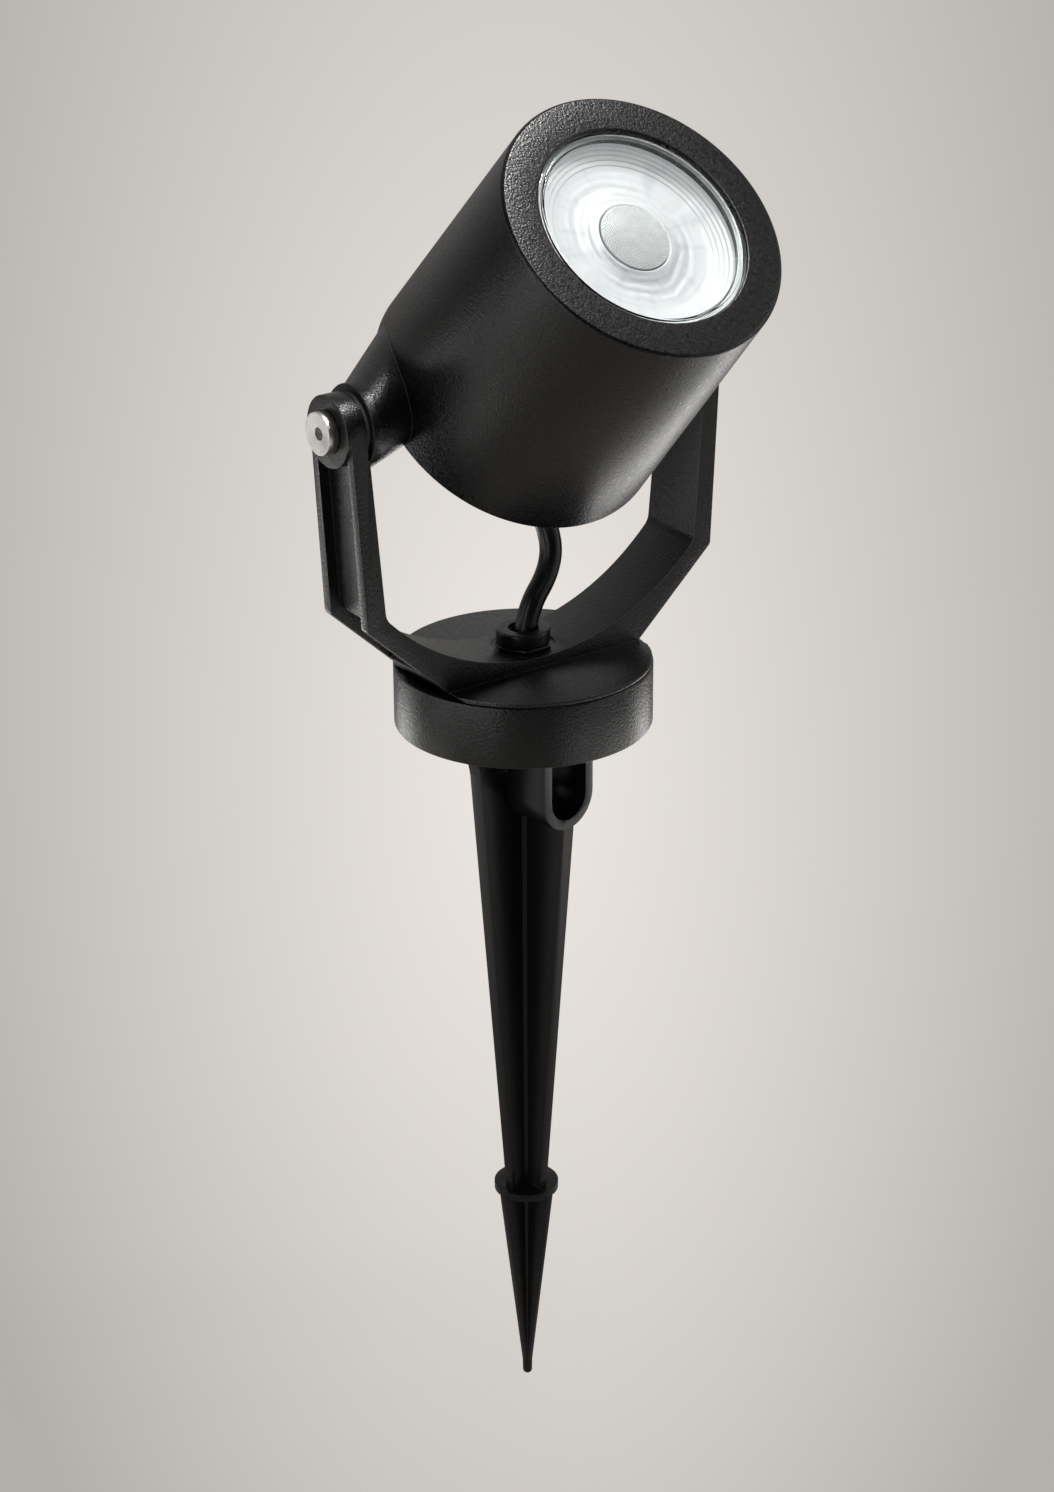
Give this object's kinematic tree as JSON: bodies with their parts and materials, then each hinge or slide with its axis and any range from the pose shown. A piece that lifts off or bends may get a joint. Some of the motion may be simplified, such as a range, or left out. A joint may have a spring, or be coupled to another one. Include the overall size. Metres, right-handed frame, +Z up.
{
  "type": "garden spike spotlight",
  "caption": "Garden spotlight on a ground spike: a tapered round head tilts in a U-shaped yoke that pans on a round base drum, joined by a short flexible lead.",
  "frame": {"origin": "centre of the base drum's underside, which is ground level when the spike is planted", "axes": "+Z up, X along the head's tilt axis, the head leans towards -Y at rest"},
  "size_m": [0.165, 0.1479, 0.5039],
  "materials": {
    "powder_coat": "matt",
    "spike_plastic": "satin",
    "gland_plastic": "satin",
    "rubber": "matt",
    "lead_rubber": "satin",
    "stainless": "satin",
    "washer_plastic": "satin",
    "terminal_plastic": "satin",
    "clear_glass": "polished",
    "reflector_satin": "satin",
    "optic_clear": "glossy",
    "led_phosphor": "matt",
    "board_white": "glossy",
    "cast_aluminium": "matt"
  },
  "bodies": {
    "base": {"ground_spike": "spike_plastic", "spike_screws": "stainless", "base_gasket": "rubber", "base_drum": "powder_coat", "inlet_gland_body": "gland_plastic", "inlet_gland_nut": "gland_plastic", "inlet_seal": "rubber", "terminal_block": "terminal_plastic", "terminal_screws": "stainless", "earth_screw": "stainless", "swivel_bush": "gland_plastic"},
    "yoke": {"yoke": "powder_coat", "swivel_nipple": "stainless", "swivel_nut": "stainless", "friction_washer": "washer_plastic", "swivel_seal": "rubber", "foot_gland_body": "gland_plastic", "foot_gland_cap": "gland_plastic", "foot_gland_seal": "rubber", "ear_bushes": "gland_plastic", "head_cable": "lead_rubber"},
    "head": {"head_housing": "powder_coat", "front_ring": "powder_coat", "glass_gasket": "rubber", "front_glass": "clear_glass", "reflector": "reflector_satin", "led_optic": "optic_clear", "optic_holder": "terminal_plastic", "led_chip": "led_phosphor", "led_board": "board_white", "heat_sink": "cast_aluminium", "driver": "gland_plastic", "rear_cover": "powder_coat", "rear_gasket": "rubber", "rear_screws": "stainless", "rear_gland_body": "gland_plastic", "rear_gland_nut": "gland_plastic", "rear_gland_cap": "gland_plastic", "rear_gland_seal": "rubber", "pivot_screws": "stainless", "pivot_washers": "washer_plastic"}
  },
  "joints": [
    {"name": "yoke_pan", "type": "hinge", "parent": "base", "child": "yoke", "pos_m": [0, 0, 0.0185], "axis": [0, 0, 1], "range_deg": [-170, 170]},
    {"name": "head_tilt", "type": "hinge", "parent": "yoke", "child": "head", "pos_m": [0, 0, 0.1215], "axis": [1, 0, 0], "range_deg": [-43.5, 36.5], "deforming": ["head_cable"]}
  ]
}
